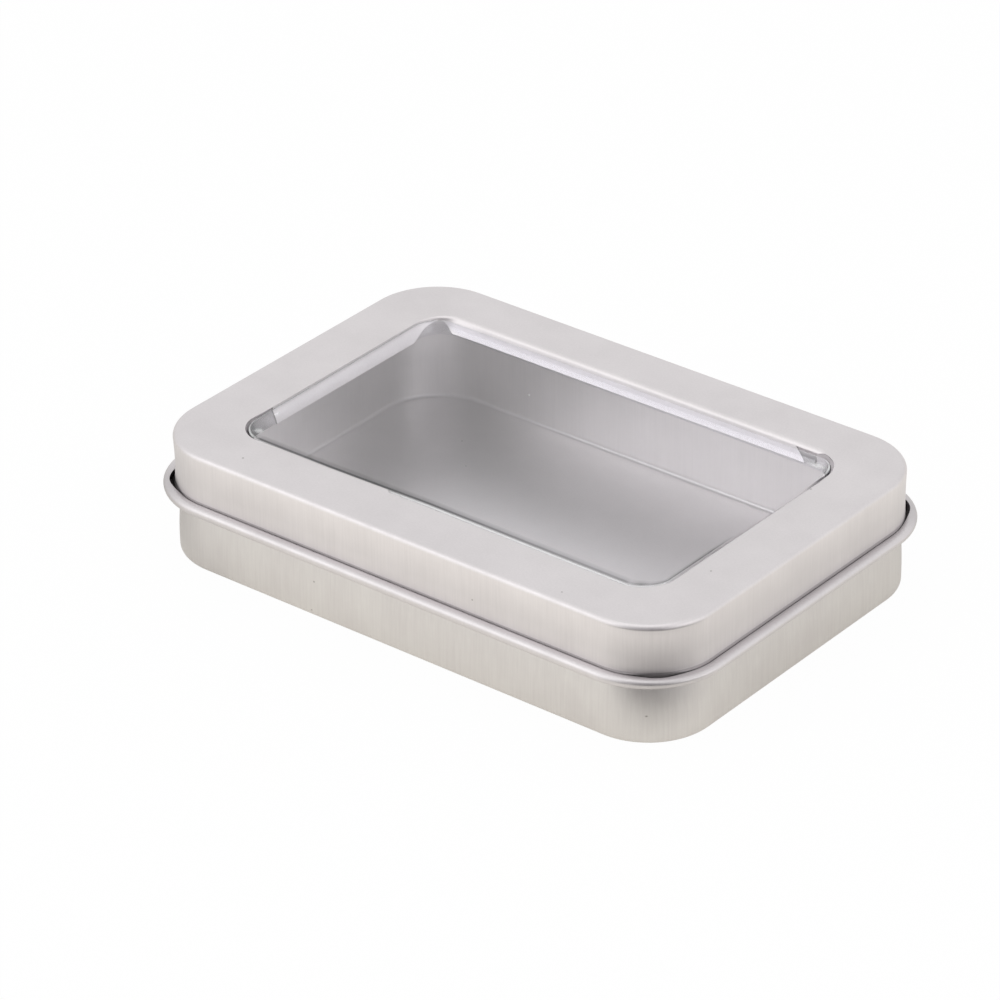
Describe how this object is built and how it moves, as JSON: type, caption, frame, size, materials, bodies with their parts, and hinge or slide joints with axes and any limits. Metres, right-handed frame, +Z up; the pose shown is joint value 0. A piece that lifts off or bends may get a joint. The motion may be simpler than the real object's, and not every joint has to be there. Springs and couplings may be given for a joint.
{
  "type": "hinged window tin",
  "caption": "Small rectangular tinplate storage box with rounded corners, a hinged lid with a rolled lower bead, and a clear window held in the lid.",
  "frame": {"origin": "centre of the tray's flat underside, on the surface that the tin stands on", "axes": "+X along the tin's length, +Y towards the hinge at the back, -Y the front, +Z up"},
  "size_m": [0.0912, 0.0637, 0.0178],
  "materials": {
    "tray_tinplate": "satin tinplate",
    "lid_tinplate": "satin tinplate",
    "clear_sheet": "clear gloss"
  },
  "bodies": {
    "tray": {"base_tray": "tray_tinplate"},
    "lid": {"lid_shell": "lid_tinplate", "window_pane": "clear_sheet"}
  },
  "joints": [
    {"name": "lid_hinge", "type": "hinge", "parent": "tray", "child": "lid", "pos_m": [0, 0.03078, 0.01003], "axis": [-1, 0, 0], "range_deg": [0, 110]}
  ]
}
